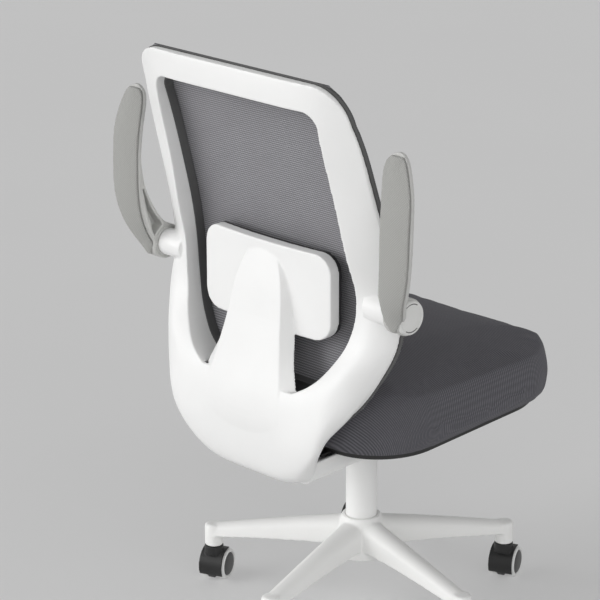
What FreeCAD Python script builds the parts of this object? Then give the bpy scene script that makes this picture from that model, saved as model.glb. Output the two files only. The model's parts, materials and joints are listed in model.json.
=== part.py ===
"""Office chair with a mesh back, flip-up arms, a gas lift and a five-arm base.

Millimetres. +Z is up, the origin is on the floor under the column axis, the sitter looks along -Y
and the sitter's left hand is on +X. The arms are folded up and the lift is at its lowest, as photographed.
"""
import FreeCAD, Part
import math
import os
from FreeCAD import Vector

# Fits and clearances
RUNNING_FIT = 0.05        # radial play of a pin or shaft in its bore
SOFT_GAP = 0.3            # air between a soft solid and what carries it
SIDE_PLAY = 0.4           # axial play beside a turning part

# Casters
WHEEL_RADIUS = 25.0
WHEEL_WIDTH = 16.0
HUBCAP_RADIUS = 18.0
HUBCAP_RISE = 2.5
AXLE_RADIUS = 3.0
CASTER_TRAIL = 11.0       # axle behind the stem
CASTER_YAW = -68.0        # every caster trails this way, degrees from +X
FORK_WIDTH = 12.0         # core of the hood between the wheels
HOOD_SKIN = 2.0
HOOD_GAP = 2.0            # hood to wheel tread
STEM_RADIUS = 5.5
STEM_GRIP = 24.0          # length of stem inside the socket
COLLAR_RADIUS = 15.5
COLLAR_HEIGHT = 9.0
CASTER_HEIGHT = 62.0      # floor to the underside of the socket

# Five-arm base
ARM_COUNT = 5
BASE_YAW = -44.0          # direction of the first arm, degrees from +X
BASE_RADIUS = 251.0       # column axis to caster stem
HUB_TOP = 150.0
HUB_BOTTOM = 84.0
HUB_TOP_RADIUS = 31.0
HUB_FOOT_RADIUS = 47.0
ARM_ROOT_WIDTH = 56.0
ARM_TIP_WIDTH = 31.0
ARM_ROOT_DEPTH = 50.0
ARM_TIP_DEPTH = 20.0
ARM_DROP = 50.0           # fall of the arm's top from hub to tip
SOCKET_RADIUS = 15.0

# Gas lift
TUBE_RADIUS = 25.0
TUBE_WALL = 1.5
TUBE_BOTTOM = 84.0
TUBE_TOP = 258.0
TUBE_TAPER = 0.8          # radius lost over the length held by the hub
TUBE_FLOOR = 4.0
BUSH_LENGTH = 78.0
CYLINDER_RADIUS = 14.0
CYLINDER_WALL = 1.6
CYLINDER_BOTTOM = 104.0
GLAND_HEIGHT = 14.0
LIFT_TAPER_LENGTH = 34.0
LIFT_TAPER = 0.7
ROD_RADIUS = 5.0
PISTON_HEIGHT = 12.0
BUTTON_RADIUS = 4.0
BUTTON_RISE = 5.0
BUTTON_SHANK = 12.0
BEARING_HEIGHT = 7.0
CLIP_THICKNESS = 1.5

# Tilt mechanism
HOUSING_HALF_WIDTH = 50.0
HOUSING_WALL = 2.5
HOUSING_BOTTOM = 268.0
HOUSING_FRONT = -115.0
HOUSING_REAR = 72.0
HOUSING_CHIN = 15.0       # rise of the floor towards the front and rear ends
HOUSING_FALL = 22.0       # fall of the rim behind the pivot
SOCKET_WALL = 6.0
PIVOT_Y = -35.0
PIVOT_Z = 308.0
PIVOT_RADIUS = 6.0
PIVOT_HEAD = 3.0
SPRING_RADIUS = 12.0
SPRING_WALL = 4.0
KNOB_Y = -88.0
KNOB_RADIUS = 22.0
KNOB_HEIGHT = 22.0
KNOB_FLUTES = 10
FLUTE_RADIUS = 4.0
SCREW_RADIUS = 4.0
SCREW_RISE = 14.0         # tension screw inside the housing

# Height lever on the sitter's left
LEVER_RADIUS = 4.0
LEVER_DROP = 13.0
LEVER_BEND_X = 130.0
PADDLE_START = 122.0
PADDLE_END = 204.0
PADDLE_HALF_WIDTH = 13.0
PADDLE_THICKNESS = 9.0
LEVER_HOLE_PLAY = 0.5

# Tilt plate
PLATE_BOTTOM = 331.0
PLATE_THICKNESS = 4.0
PLATE_HALF_WIDTH = 86.0
PLATE_FRONT = -135.0
PLATE_REAR = 178.0
EAR_THICKNESS = 4.0
EAR_HALF_LENGTH = 16.0

# Seat
SEAT_PITCH = 2.3          # seat, plate and bracket slope down to the rear, degrees
SEAT_FRONT = -276.0
SEAT_REAR = 187.0
SEAT_HALF_WIDTH = 224.0
SEAT_FRONT_RADIUS = 118.0
SEAT_REAR_RADIUS = 118.0
PAN_THICKNESS = 11.0
PAN_INSET = 26.0
CUSHION_THICKNESS = 108.0 # of the blank before the crown is cut
CUSHION_PEAK = 454.0      # top of the crown across the seat
CUSHION_CROWN = 24.0      # rise of the cushion's top from its sides to the middle
SEAT_SCREW_RADIUS = 3.0
SEAT_SCREW_X = 68.0
SEAT_SCREW_FRONT = -112.0
SEAT_SCREW_REAR = 58.0
SCREW_HEAD = 3.5

# Back
BACK_TOP = 936.0
BACK_REACH = 260.0        # half-width and depth of the blanks that the back is cut from
FRONT_BLANK = 140.0       # front of the shell's blank before it is trimmed
BACK_CORNER = 56.0        # radius of the top corners
SHELL_EDGE = 6.0          # thickness of the shell along its rim
SHELL_WALL = 6.0          # wall of the hollow lower bowl
TOP_RAIL = 41.0           # depth of the rail above the opening
OPENING_CORNER = 26.0
CAVITY_TOP = 500.0
RING_THICKNESS = 6.0
RING_LIP_WALL = 1.5
RING_LIP_DEPTH = 10.0     # lip of the ring that lines the opening
RING_OVERHANG = 1.5       # the ring stands this far out of the shell's rim
RING_BOTTOM = 366.0
MESH_THICKNESS = 1.2
BRACKET_HALF_WIDTH = 95.0
BRACKET_BOTTOM = 297.0
BRACKET_CORNER = 14.0
BRACKET_FRONT = 90.0
BRACKET_REAR = 214.0
BRACKET_WALL = 6.0
BACK_BOLT_RADIUS = 4.0
BACK_BOLT_X = 58.0
BACK_BOLT_FRONT = 112.0
BACK_BOLT_REAR = 158.0
BOLT_BOSS_RADIUS = 10.0
BOLT_HEAD_RADIUS = 6.5
BOLT_HEAD_HEIGHT = 6.0

# Lumbar support
LUMBAR_HALF_WIDTH = 133.0
LUMBAR_BOTTOM = 525.0
LUMBAR_TOP = 659.0
LUMBAR_CORNER = 30.0
LUMBAR_REAR = 219.0       # rear face at the middle
LUMBAR_SWEEP = 9.0        # how far its ends curve forward
LUMBAR_THICKNESS = 19.0
LUMBAR_PAD_THICKNESS = 12.0
LUMBAR_PAD_OVERHANG = 3.0
LUMBAR_PAD_CROWN = 3.0

# Flip-up arms
ARM_Y = 189.0
ARM_Z = 596.0
STUB_RADIUS = 21.0
STUB_ROOT = 196.0
STUB_FACE = 244.0
ARM_HUB_RADIUS = 28.0
ARM_HUB_WIDTH = 26.0
ARM_BOLT_RADIUS = 5.0
ARM_BOLT_DEPTH = 30.0     # thread inside the stub
ARM_BOLT_HEAD = 9.0
ARM_BOLT_HEAD_HEIGHT = 5.0
CAP_RADIUS = 26.0
CAP_RISE = 8.0
CAP_RIM = 4.0
CAP_DISH = 2.0
PAD_THICKNESS = 8.0
PAD_BACKING = 6.0
BACKING_WIDTH = 60.0
PAD_CROWN = 3.5
PAD_RIM = 0.8             # the pad stands inside the edge of its backing by this much
WEB_THICKNESS = 24.0      # web between the hub and the backing
RECESS_DEPTH = 19.0
HUB_GROOVE = (22.5, 24.5)  # radii of the groove around the stub
HUB_GROOVE_DEPTH = 2.5

# Heights and lengths that follow from the sizes above
OPENING_TOP = BACK_TOP - TOP_RAIL
PAN_BOTTOM = PLATE_BOTTOM + PLATE_THICKNESS
PAN_TOP = PAN_BOTTOM + PAN_THICKNESS
CUSHION_BOTTOM = PAN_TOP + SOFT_GAP
CYLINDER_TOP = PIVOT_Z - 4.0
BUTTON_TOP = CYLINDER_TOP + BUTTON_RISE
LEVER_Z = BUTTON_TOP + LEVER_RADIUS + SOFT_GAP
ARM_FACE = STUB_FACE + SIDE_PLAY
X_AXIS = Vector(1, 0, 0)
Y_AXIS = Vector(0, 1, 0)
Z_AXIS = Vector(0, 0, 1)
ORIGIN = Vector(0, 0, 0)

# Side profile of the back's front face: (z, y), lowest first
FRONT_LINE = [
    (286, 207), (340, 208), (380, 208), (420, 204), (460, 195.5), (500, 185), (535, 177),
    (570, 172.5), (600, 172.5), (637, 178), (689, 190.5), (740, 205.5), (791, 221),
    (842, 237.5), (892, 255.5), (BACK_TOP + 4, 273)]

# Half outline of the shell seen from behind: (x, z) along the rim, from the bowl up to the top corner
RIM_LINE = [
    (103, 340), (107, 356), (120, 371), (152, 401), (190, 441), (209, 471), (226, 502), (237, 532),
    (241, 562), (239.5, 600), (235, 640), (231, 690), (228, 740), (225, 791), (222, 842),
    (215, BACK_TOP - 54)]

# Half outline of the opening seen from behind: (x, z), from its lower corner to the top corner
OPENING_LINE = [
    (96, 449), (118, 461), (135, 475), (152, 497), (165, 520), (174, 546), (180, 573), (182, 604),
    (180, 640), (176, 693), (173, 745), (170.5, 800), (168.5, OPENING_TOP - 26)]

# Plan sections of the shell's rear face: z, then (x, y) from the middle to the rim
SHELL_SECTIONS = [
    (288, [(0, 226), (30, 225), (48, 222), (58, 217), (63, 211), (65, 206)]),
    (294, [(0, 241), (40, 241), (66, 238), (80, 231), (86, 221), (84, 207)]),
    (304, [(0, 252), (48, 252), (82, 249), (98, 241), (103, 227), (95, 209)]),
    (322, [(0, 260), (58, 260), (100, 258), (118, 250), (120, 235), (100, 212)]),
    (345, [(0, 265), (64, 265), (118, 264), (137, 257), (134, 240), (104, 214)]),
    (372, [(0, 267.5), (68, 267.5), (130, 267), (155, 259), (148, 240), (121, 214)]),
    (400, [(0, 268), (72, 267.5), (130, 265), (166, 257.5), (168, 240), (151, 213)]),
    (430, [(0, 264.5), (74, 263.5), (126, 260), (172, 254), (188, 236), (182, 209)]),
    (462, [(0, 253), (76, 252.5), (116, 249), (170, 249), (200, 229), (205.5, 202)]),
    (495, [(0, 238), (80, 237), (144, 231), (184, 237), (211, 218), (222.5, 194)]),
    (530, [(0, 224), (90, 223), (164, 216), (204, 216), (227, 200), (236.5, 184)]),
    (570, [(0, 215), (100, 214), (178, 208), (206, 205), (226, 193), (241, 178)]),
    (610, [(0, 215), (100, 214), (181, 208), (203, 200), (222, 189), (239, 178)]),
    (660, [(0, 230), (100, 229), (177, 222), (198, 211), (216, 200), (234, 189)]),
    (720, [(0, 246), (100, 245), (173, 236.5), (195, 226), (213, 216), (229, 206)]),
    (790, [(0, 264), (100, 263), (169, 254.5), (191, 245), (209, 236), (225.5, 227)]),
    (850, [(0, 280), (100, 279), (168, 271), (188, 262), (205, 253.5), (221, 245)]),
    (895, [(0, 287), (100, 286.5), (165, 280), (185, 273.5), (201, 267), (216, 260.5)]),
    (BACK_TOP + 4, [(0, 286), (100, 286), (160, 284.5), (183, 283), (200, 280.5), (214, 278)])]

# Stem between the bowl and the lumbar plate: z, rear half-width, rear y, front half-width, front y
STEM_SECTIONS = [
    (345, 70, 259.5, 74, 246), (368, 75, 264, 78, 249), (392, 78, 267.5, 82, 250), (420, 77, 265.5, 86, 247),
    (449, 73, 259.5, 96, 243), (475, 68, 253, 86, 236), (505, 62, 246.5, 76, 226), (535, 57, 240, 67, 217), (570, 53, 234, 59, 211), (600, 47, 228.5, 54, 210),
    (624, 38, 222.5, 46, 210), (646, 24, 216, 34, 210)]
STEM_CROWN = 3.0

# Cushion levels: share of the thickness, inset from the seat outline
CUSHION_LEVELS = [(0.0, 15), (0.08, 5), (0.28, 0), (0.52, 2.5), (0.73, 8), (0.88, 18), (1.0, 33)]

# Side profile of the cushion's top: (y, z), falling over the front edge
CUSHION_TOP_LINE = [
    (SEAT_FRONT, 403), (-262, 425), (-240, 440), (-205, 447.5), (-100, 451), (0, 451.5), (100, 450),
    (SEAT_REAR, 444)]

# Arm pad in the folded position, from the hub to the tip: z, inner x, outer x, y of its rear face
PAD_STATIONS = [
    (576, 256, 268, 214.5), (583, 249.5, 274, 217.5), (594, 246.5, 282, 222), (608, 248, 289.5, 229),
    (622, 250, 295.5, 235), (650, 253.5, 306, 241.5), (699, 256, 313.5, 244), (760, 255.8, 314, 242),
    (802, 253.5, 308.5, 237), (826, 253.3, 300.5, 233), (838, 257, 294.5, 230.5), (846, 266, 287, 229)]
PAD_TIP = (277, 849.5)
PAD_FOOT = (262, 574.3)
# What the web loses on its inner face as it runs up to the pad's inner edge: (x, z)
WEB_SLANT = [(240, 632), (ARM_FACE, 632), (256, 690), (258, 790), (260, 860), (240, 860)]
# Front edge of the arm's web, from below the tip down to the hub: (y, z)
WEB_FRONT = [(228, 775), (230, 740), (226, 705), (220.5, 680), (211, 655), (196, 632), (180, 622)]
# Pocket in the web's inner face: (y, z) from the arm's pivot, from its tip down the backing and back up
POCKET = [
    (40, 101), (37.5, 54), (31, 26), (26.5, 13), (21.5, 20.5), (15, 25.5), (9.5, 29), (17, 40),
    (23.5, 50), (29, 61), (35, 82)]


def cylinder(radius, start, end):
    """Round bar between two points."""
    axis = end - start
    return Part.makeCylinder(radius, axis.Length, start, axis)


def post(radius, place, bottom, top):
    """Upright round bar at a plan position between two heights."""
    return cylinder(radius, Vector(*place, bottom), Vector(*place, top))


def crossbar(radius, reach, place):
    """Level round bar along X between two x values, at a (y, z) position."""
    return cylinder(radius, Vector(reach[0], *place), Vector(reach[1], *place))


def tube(outer, inner, start, end):
    """Hollow bar between two points."""
    return cylinder(outer, start, end).cut(cylinder(inner, start, end))


def cone(radius_1, radius_2, start, end):
    """Round taper between two points."""
    axis = end - start
    return Part.makeCone(radius_1, radius_2, axis.Length, start, axis)


def box(x_range, y_range, z_range):
    """Block between pairs of coordinates."""
    size = [pair[1] - pair[0] for pair in (x_range, y_range, z_range)]
    return Part.makeBox(*size, Vector(x_range[0], y_range[0], z_range[0]))


def spline(points):
    """Smooth curve through the points."""
    curve = Part.BSplineCurve()
    curve.interpolate(points)
    return curve.toShape()


def line(start, end):
    """Straight edge."""
    return Part.LineSegment(start, end).toShape()


def arc(start, middle, end):
    """Arc through three points."""
    return Part.Arc(start, middle, end).toShape()


def prism(edges, depth):
    """Solid swept from the closed outline along a vector."""
    return Part.Face(Part.Wire(edges)).extrude(depth)


def polygon_prism(points, depth):
    """Solid swept from a polygon along a vector."""
    return Part.Face(Part.makePolygon(points + points[:1])).extrude(depth)


def mirrored(shape):
    """The same piece on the other side of the chair."""
    return shape.mirror(ORIGIN, X_AXIS)


def turned(shape, angle, centre=ORIGIN):
    """Copy turned about a vertical axis."""
    copy = shape.copy()
    copy.rotate(centre, Z_AXIS, angle)
    return copy


def pitched(shape):
    """Copy leaned back about the tilt pivot by the slope of the seat."""
    copy = shape.copy()
    copy.rotate(Vector(0, PIVOT_Y, PIVOT_Z), X_AXIS, -SEAT_PITCH)
    return copy


def save(name, shape):
    """Write one piece to its own file."""
    shape.exportStep("parts/" + name + ".step")
    print(name, len(shape.Solids), "solid", round(shape.Volume / 1000.0, 1), "cm3", shape.isValid())


# Base with its hub, arms and caster sockets

def arm_section(reach, width, top, depth):
    """Round-topped channel section across an arm at a distance from the hub."""
    half = width / 2.0
    shoulder = top - 0.35 * depth
    foot_left = Vector(reach, -half, top - depth)
    foot_right = Vector(reach, half, top - depth)
    left = Vector(reach, -0.86 * half, shoulder)
    right = Vector(reach, 0.86 * half, shoulder)
    return Part.Wire([
        line(foot_left, foot_right), line(foot_right, right),
        arc(right, Vector(reach, 0, top), left), line(left, foot_left)])


def base_arm():
    """One arm along +X, from inside the hub to the socket at its tip."""
    sections = []
    for share in (0.06, 0.3, 0.55, 0.8, 1.0):
        width = ARM_ROOT_WIDTH + (ARM_TIP_WIDTH - ARM_ROOT_WIDTH) * share ** 0.7
        depth = ARM_ROOT_DEPTH + (ARM_TIP_DEPTH - ARM_ROOT_DEPTH) * share ** 0.8
        top = HUB_TOP - 3.0 - (ARM_DROP - 3.0) * share ** 1.15
        sections.append(arm_section(BASE_RADIUS * share, width, top, depth))
    beam = Part.makeLoft(sections, True, False)
    tip = Vector(BASE_RADIUS, 0, CASTER_HEIGHT)
    socket_top = HUB_TOP - ARM_DROP
    socket = cylinder(SOCKET_RADIUS, tip, Vector(BASE_RADIUS, 0, socket_top))
    socket = socket.makeFillet(5.0, [edge for edge in socket.Edges if edge.BoundBox.ZMin > socket_top - 0.1])
    return beam.fuse(socket)


def tube_radius_at(height):
    """Outer radius of the column where the hub grips it."""
    share = (HUB_TOP - height) / (HUB_TOP - HUB_BOTTOM)
    return TUBE_RADIUS - TUBE_TAPER * share


def make_base():
    """Hub and arms in one moulding, with the column's taper and the stem sockets bored out."""
    star = cone(HUB_FOOT_RADIUS, HUB_TOP_RADIUS, Vector(0, 0, HUB_BOTTOM), Vector(0, 0, HUB_TOP))
    arm = base_arm()
    for index in range(ARM_COUNT):
        star = star.fuse(turned(arm, BASE_YAW + index * 360.0 / ARM_COUNT))
    bore = cone(
        tube_radius_at(HUB_BOTTOM) + RUNNING_FIT, TUBE_RADIUS + RUNNING_FIT,
        Vector(0, 0, HUB_BOTTOM), Vector(0, 0, HUB_TOP))
    star = star.cut(bore)
    for stem_x, stem_y in stem_places():
        foot = Vector(stem_x, stem_y, CASTER_HEIGHT)
        star = star.cut(cylinder(STEM_RADIUS + RUNNING_FIT, foot, foot + Z_AXIS * (STEM_GRIP + SIDE_PLAY)))
    return star.removeSplitter()


def stem_places():
    """Where the five caster stems stand."""
    places = []
    for index in range(ARM_COUNT):
        angle = math.radians(BASE_YAW + index * 360.0 / ARM_COUNT)
        places.append((BASE_RADIUS * math.cos(angle), BASE_RADIUS * math.sin(angle)))
    return places


# Casters, drawn trailing along +X with the stem on the Z axis

def caster_pieces():
    """Hood, stem, axle and two wheels of one caster."""
    axle_place = Vector(CASTER_TRAIL, 0, WHEEL_RADIUS)
    half_fork = FORK_WIDTH / 2.0
    wheel_start = half_fork + SIDE_PLAY
    wheel_end = wheel_start + WHEEL_WIDTH
    half_hood = wheel_end - 2.0
    collar_top = CASTER_HEIGHT - SIDE_PLAY
    collar_bottom = collar_top - COLLAR_HEIGHT
    hood_inner = WHEEL_RADIUS + HOOD_GAP
    hood_outer = hood_inner + HOOD_SKIN

    skin = tube(hood_outer, hood_inner, axle_place - Y_AXIS * half_hood, axle_place + Y_AXIS * half_hood)
    keep = box((-60, CASTER_TRAIL + 6.0), (-60, 60), (WHEEL_RADIUS - 14.0, 120))
    skin = skin.common(keep)
    core = cylinder(hood_outer - 0.5, axle_place - Y_AXIS * half_fork, axle_place + Y_AXIS * half_fork)
    core = core.common(box((-60, CASTER_TRAIL + 9.0), (-60, 60), (6.0, 120)))
    collar = post(COLLAR_RADIUS, (0, 0), collar_bottom - 6.0, collar_top)
    collar = collar.cut(cylinder(hood_inner, axle_place - Y_AXIS * 40, axle_place + Y_AXIS * 40))
    hood = core.fuse([skin, collar])
    hood = hood.cut(cylinder(AXLE_RADIUS, axle_place - Y_AXIS * 40, axle_place + Y_AXIS * 40))
    stem_foot = Vector(0, 0, collar_top - COLLAR_HEIGHT)
    stem = cylinder(STEM_RADIUS, stem_foot, Vector(0, 0, CASTER_HEIGHT + STEM_GRIP))
    hood = hood.cut(cylinder(STEM_RADIUS, stem_foot, Vector(0, 0, CASTER_HEIGHT)))

    axle_end = wheel_end - 3.0
    axle = cylinder(AXLE_RADIUS, axle_place - Y_AXIS * axle_end, axle_place + Y_AXIS * axle_end)
    pieces = {"hood": hood.removeSplitter(), "stem": stem, "axle": axle}
    for side, name in ((1, "left_wheel"), (-1, "right_wheel")):
        inner = axle_place + Y_AXIS * side * wheel_start
        outer = axle_place + Y_AXIS * side * wheel_end
        tread = cylinder(WHEEL_RADIUS, inner, outer)
        tread = tread.makeFillet(3.0, [edge for edge in tread.Edges if len(edge.Vertexes) == 1])
        cap = cone(HUBCAP_RADIUS, HUBCAP_RADIUS - 6.0, outer, outer + Y_AXIS * side * HUBCAP_RISE)
        wheel = tread.fuse(cap)
        bore_end = axle_place + Y_AXIS * side * (axle_end + SIDE_PLAY)
        pieces[name] = wheel.cut(cylinder(AXLE_RADIUS + RUNNING_FIT, inner, bore_end))
    return pieces


def make_casters():
    """Five casters at their stems, all trailing the same way."""
    pieces = caster_pieces()
    for index, (stem_x, stem_y) in enumerate(stem_places(), 1):
        for name, shape in pieces.items():
            placed = turned(shape, CASTER_YAW)
            placed.translate(Vector(stem_x, stem_y, 0))
            save("caster_%d_%s" % (index, name), placed)


# Gas lift

def make_lift():
    """Column tube, guide bush, rod, bearing, clip, pressure cylinder and its release button."""
    bore = TUBE_RADIUS - TUBE_WALL
    lower = cone(
        tube_radius_at(TUBE_BOTTOM), TUBE_RADIUS, Vector(0, 0, TUBE_BOTTOM), Vector(0, 0, HUB_TOP))
    column = lower.fuse(post(TUBE_RADIUS, (0, 0), HUB_TOP, TUBE_TOP))
    floor = TUBE_BOTTOM + TUBE_FLOOR
    bore_low = bore - TUBE_TAPER * 1.5
    column = column.cut(post(bore_low, (0, 0), floor, HUB_TOP))
    column = column.cut(post(bore, (0, 0), HUB_TOP, TUBE_TOP))
    column = column.cut(post(ROD_RADIUS + RUNNING_FIT, (0, 0), TUBE_BOTTOM, floor))
    save("lift_tube", column.removeSplitter())

    bush_foot = Vector(0, 0, TUBE_TOP - BUSH_LENGTH)
    bush = tube(bore - RUNNING_FIT, CYLINDER_RADIUS + RUNNING_FIT, bush_foot, Vector(0, 0, TUBE_TOP))
    save("guide_bush", bush)

    bearing_top = floor + BEARING_HEIGHT
    save("thrust_bearing", tube(ROD_RADIUS + 9.0, ROD_RADIUS + RUNNING_FIT,
                                Vector(0, 0, floor), Vector(0, 0, bearing_top)))

    cavity_bottom = CYLINDER_BOTTOM + GLAND_HEIGHT
    cavity_top = CYLINDER_TOP - LIFT_TAPER_LENGTH
    piston_top = cavity_top - SIDE_PLAY
    piston_radius = CYLINDER_RADIUS - CYLINDER_WALL - RUNNING_FIT
    rod_foot = TUBE_BOTTOM - 6.0
    rod = post(ROD_RADIUS, (0, 0), rod_foot, piston_top)
    rod = rod.fuse(post(piston_radius, (0, 0), piston_top - PISTON_HEIGHT, piston_top))
    clip_bottom = TUBE_BOTTOM - CLIP_THICKNESS
    collar = tube(ROD_RADIUS + 2.5, ROD_RADIUS, Vector(0, 0, bearing_top), Vector(0, 0, bearing_top + 3.0))
    save("lift_rod", rod.fuse(collar).removeSplitter())
    clip = tube(ROD_RADIUS + 4.0, ROD_RADIUS, Vector(0, 0, clip_bottom), Vector(0, 0, TUBE_BOTTOM))
    save("retaining_clip", clip)

    taper_start = CYLINDER_TOP - LIFT_TAPER_LENGTH
    body = post(CYLINDER_RADIUS, (0, 0), CYLINDER_BOTTOM, taper_start)
    body = body.fuse(cone(CYLINDER_RADIUS, CYLINDER_RADIUS - LIFT_TAPER,
                          Vector(0, 0, taper_start), Vector(0, 0, CYLINDER_TOP)))
    body = body.cut(post(CYLINDER_RADIUS - CYLINDER_WALL, (0, 0), cavity_bottom, cavity_top))
    body = body.cut(post(ROD_RADIUS + RUNNING_FIT, (0, 0), CYLINDER_BOTTOM, cavity_bottom))
    button_foot = Vector(0, 0, CYLINDER_TOP - BUTTON_SHANK)
    well_foot = Vector(0, 0, CYLINDER_TOP - BUTTON_SHANK - BUTTON_RISE)
    body = body.cut(cylinder(BUTTON_RADIUS + RUNNING_FIT, well_foot, Vector(0, 0, CYLINDER_TOP)))
    save("lift_cylinder", body.removeSplitter())
    save("release_button", cylinder(BUTTON_RADIUS, button_foot, Vector(0, 0, BUTTON_TOP)))


# Tilt mechanism under the seat

def housing_profile(inset, rise):
    """Side outline of the housing in the YZ plane, drawn in by a wall and raised above the rim."""
    front = HOUSING_FRONT + inset
    rear = HOUSING_REAR - inset
    bottom = HOUSING_BOTTOM + inset
    top = PLATE_BOTTOM - 9.0
    return [
        (front, bottom + HOUSING_CHIN), (front, top + rise), (PIVOT_Y, top + rise),
        (rear, top - HOUSING_FALL + rise), (rear, bottom + HOUSING_CHIN * 0.75),
        (34.0, bottom), (-60.0, bottom)]


def make_mechanism():
    """Pressed housing with the lift socket, the pivot pin, its spring, and the tension knob."""
    outside = [Vector(-HOUSING_HALF_WIDTH, y, z) for y, z in housing_profile(0.0, 0.0)]
    inner_half = HOUSING_HALF_WIDTH - HOUSING_WALL
    inside = [Vector(-inner_half, y, z) for y, z in housing_profile(HOUSING_WALL, 20.0)]
    housing = polygon_prism(outside, X_AXIS * 2.0 * HOUSING_HALF_WIDTH)
    housing = housing.cut(polygon_prism(inside, X_AXIS * 2.0 * inner_half))
    socket_foot = Vector(0, 0, HOUSING_BOTTOM)
    socket_top = Vector(0, 0, CYLINDER_TOP)
    housing = housing.fuse(cylinder(CYLINDER_RADIUS + SOCKET_WALL, socket_foot, socket_top))
    taper_start = Vector(0, 0, CYLINDER_TOP - LIFT_TAPER_LENGTH)
    play = RUNNING_FIT
    housing = housing.cut(cylinder(CYLINDER_RADIUS + play, socket_foot - Z_AXIS, taper_start))
    taper_end = CYLINDER_RADIUS - LIFT_TAPER + play
    housing = housing.cut(cone(CYLINDER_RADIUS + play, taper_end, taper_start, socket_top))
    pin_half = HOUSING_HALF_WIDTH + SIDE_PLAY + EAR_THICKNESS
    pin_left = Vector(-pin_half, PIVOT_Y, PIVOT_Z)
    pin_right = Vector(pin_half, PIVOT_Y, PIVOT_Z)
    housing = housing.cut(cylinder(PIVOT_RADIUS + RUNNING_FIT, pin_left, pin_right))
    lever_wall = Vector(inner_half - 1.0, 0, LEVER_Z)
    lever_out = lever_wall + X_AXIS * (HOUSING_WALL + 2.0)
    lever_hole = cylinder(LEVER_RADIUS + LEVER_HOLE_PLAY, lever_wall, lever_out)
    housing = housing.cut(lever_hole)
    screw_floor = Vector(0, KNOB_Y, HOUSING_BOTTOM)
    screw_hole = cylinder(SCREW_RADIUS + RUNNING_FIT, screw_floor, screw_floor + Z_AXIS * 30.0)
    housing = housing.cut(screw_hole).removeSplitter()
    save("tilt_housing", housing)

    pin = cylinder(PIVOT_RADIUS, pin_left, pin_right)
    heads = [
        cylinder(PIVOT_RADIUS + 3.0, pin_left - X_AXIS * PIVOT_HEAD, pin_left),
        cylinder(PIVOT_RADIUS + 3.0, pin_right, pin_right + X_AXIS * PIVOT_HEAD)]
    save("pivot_pin", pin.fuse(heads).removeSplitter())
    spring_half = inner_half - SIDE_PLAY
    save("torsion_spring", tube(
        SPRING_RADIUS, SPRING_RADIUS - SPRING_WALL,
        Vector(-spring_half, PIVOT_Y, PIVOT_Z), Vector(spring_half, PIVOT_Y, PIVOT_Z)))

    slope = HOUSING_CHIN / (-60.0 - HOUSING_FRONT)
    floor_here = HOUSING_BOTTOM + slope * (-60.0 - (KNOB_Y + KNOB_RADIUS))
    knob_top = Vector(0, KNOB_Y, floor_here - SIDE_PLAY)
    knob_foot = knob_top - Z_AXIS * KNOB_HEIGHT
    knob = cylinder(KNOB_RADIUS, knob_foot, knob_top)
    flute_foot = knob_foot - Z_AXIS + X_AXIS * (KNOB_RADIUS + 1.5)
    flute = cylinder(FLUTE_RADIUS, flute_foot, flute_foot + Z_AXIS * (KNOB_HEIGHT + 2.0))
    for index in range(KNOB_FLUTES):
        knob = knob.cut(turned(flute, index * 360.0 / KNOB_FLUTES, Vector(0, KNOB_Y, 0)))
    screw_foot = knob_foot + Z_AXIS * 5.0
    screw_tip = Vector(0, KNOB_Y, HOUSING_BOTTOM + HOUSING_CHIN + SCREW_RISE)
    screw = cylinder(SCREW_RADIUS, screw_foot, screw_tip)
    save("tension_knob", knob.cut(screw))
    save("tension_screw", screw)


def make_lever():
    """Steel rod over the release button, cranked down to a moulded paddle on the sitter's left."""
    wall = HOUSING_HALF_WIDTH
    path = [
        Vector(-BUTTON_RADIUS, 0, LEVER_Z), Vector(wall + 6.0, 0, LEVER_Z),
        Vector(LEVER_BEND_X, 0, LEVER_Z - LEVER_DROP), Vector(PADDLE_END - 12.0, 0, LEVER_Z - LEVER_DROP)]
    rod = cylinder(LEVER_RADIUS, path[0], path[1])
    for start, end in zip(path[1:], path[2:]):
        rod = rod.fuse([cylinder(LEVER_RADIUS, start, end), Part.makeSphere(LEVER_RADIUS, start)])
    rod = rod.removeSplitter()
    save("lever_rod", rod)
    centre = LEVER_Z - LEVER_DROP
    paddle = box(
        (PADDLE_START + 12.0, PADDLE_END), (-PADDLE_HALF_WIDTH, PADDLE_HALF_WIDTH),
        (centre - PADDLE_THICKNESS / 2.0, centre + PADDLE_THICKNESS / 2.0))
    tips = [edge for edge in paddle.Edges if abs(edge.BoundBox.ZLength - PADDLE_THICKNESS) < 0.01]
    paddle = paddle.makeFillet(PADDLE_HALF_WIDTH * 0.7, tips)
    save("lever_paddle", paddle.cut(rod))


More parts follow.
